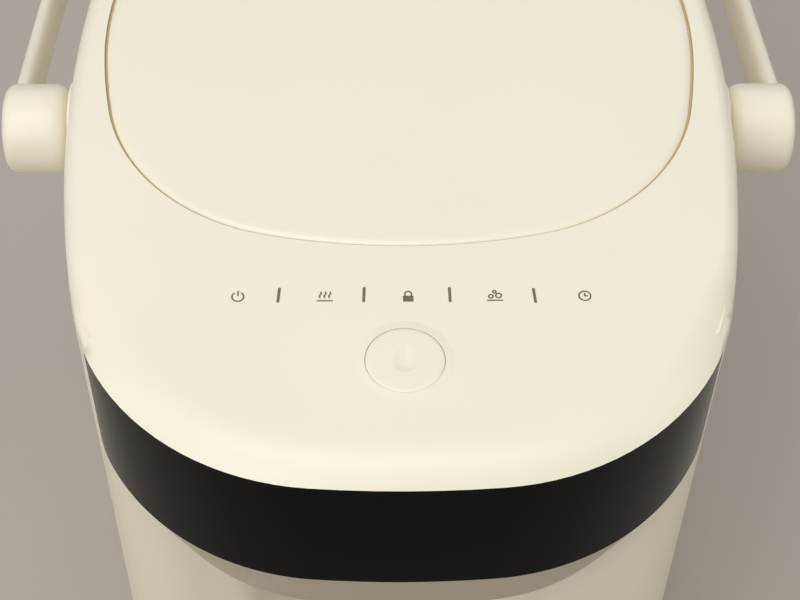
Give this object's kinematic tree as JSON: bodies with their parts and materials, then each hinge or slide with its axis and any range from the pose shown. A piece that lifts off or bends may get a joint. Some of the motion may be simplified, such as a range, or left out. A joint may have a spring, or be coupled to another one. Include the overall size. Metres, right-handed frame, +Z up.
{
  "type": "electric thermo pot",
  "caption": "Tall electric hot-water pot with a wide head, hinged flush lid, gloss front band, dispensing button, spout under a beak and a folding carrying bail",
  "frame": {"origin": "on the table, under the middle of the overall box, which runs from the head's front to the folded bail's grip", "axes": "+Z up, the front with the spout faces -Y, +X is the pot's left-hand side as it looks out at the user; the pot is mirrored about X = 0 but for its pump"},
  "size_m": [0.275, 0.336, 0.3226],
  "materials": {
    "cream_plastic": "smooth satin",
    "black_gloss": "high gloss",
    "taupe_plastic": "fine satin",
    "tan_plastic": "plain",
    "clear_plastic": "clear",
    "grey_plastic": "fine grain",
    "dark_plastic": "plain",
    "pot_steel": "brushed",
    "plain_steel": "plain",
    "cast_aluminium": "cast",
    "silicone": "soft",
    "foot_rubber": "matt",
    "board_green": "lacquered",
    "contact_brass": "bright",
    "jacket_felt": "felt"
  },
  "bodies": {
    "pot": {"body_shell": "cream_plastic", "level_window": "clear_plastic", "base_plate": "grey_plastic", "rubber_feet": "foot_rubber", "base_screws": "plain_steel", "display_band": "black_gloss", "head_shell": "cream_plastic", "beak_cover": "taupe_plastic", "spout_nozzle": "grey_plastic", "display_board": "board_green", "touch_board": "board_green", "inner_pot": "pot_steel", "pot_seal": "silicone", "pot_carrier": "pot_steel", "carrier_screws": "plain_steel", "insulation_jacket": "jacket_felt", "outlet_strainer": "dark_plastic", "heating_element": "plain_steel", "heating_plate": "cast_aluminium", "thermostat": "plain_steel", "pump_motor": "plain_steel", "pump_housing": "grey_plastic", "pump_cover": "grey_plastic", "inlet_hose": "silicone", "lower_hose": "silicone", "gauge_tube": "clear_plastic", "upper_hose": "silicone", "power_board": "board_green", "power_inlet": "grey_plastic", "inlet_contacts": "contact_brass", "hinge_bracket": "plain_steel", "hinge_pin": "plain_steel", "button_guide": "grey_plastic", "button_spring": "plain_steel", "button_switch": "dark_plastic", "handle_pivot_left": "plain_steel", "handle_pivot_right": "plain_steel"},
    "lid": {"lid_cover": "cream_plastic", "lid_trim": "tan_plastic", "lid_inner": "pot_steel", "lid_gasket": "silicone", "steam_cap": "cream_plastic"},
    "button": {"dispense_button": "cream_plastic"},
    "handle": {"bail_handle": "cream_plastic"},
    "impeller": {"pump_impeller": "grey_plastic"}
  },
  "joints": [
    {"name": "lid_hinge", "type": "hinge", "parent": "pot", "child": "lid", "pos_m": [0, 0.1155, 0.3155], "axis": [-1, 0, 0], "range_deg": [0, 88]},
    {"name": "bail_hinge", "type": "hinge", "parent": "pot", "child": "handle", "pos_m": [0, -0.003, 0.296], "axis": [1, 0, 0], "range_deg": [0, 102]},
    {"name": "button_press", "type": "slide", "parent": "pot", "child": "button", "axis": [0, 0, -1], "range_m": [0, 0.0022], "stiffness_N_per_m": 600, "springref_m": -0.001, "deforming": ["button_spring"]},
    {"name": "impeller_spin", "type": "hinge", "parent": "pot", "child": "impeller", "pos_m": [-0.012, -0.03, 0.048], "axis": [0, 0, 1], "continuous": true}
  ]
}
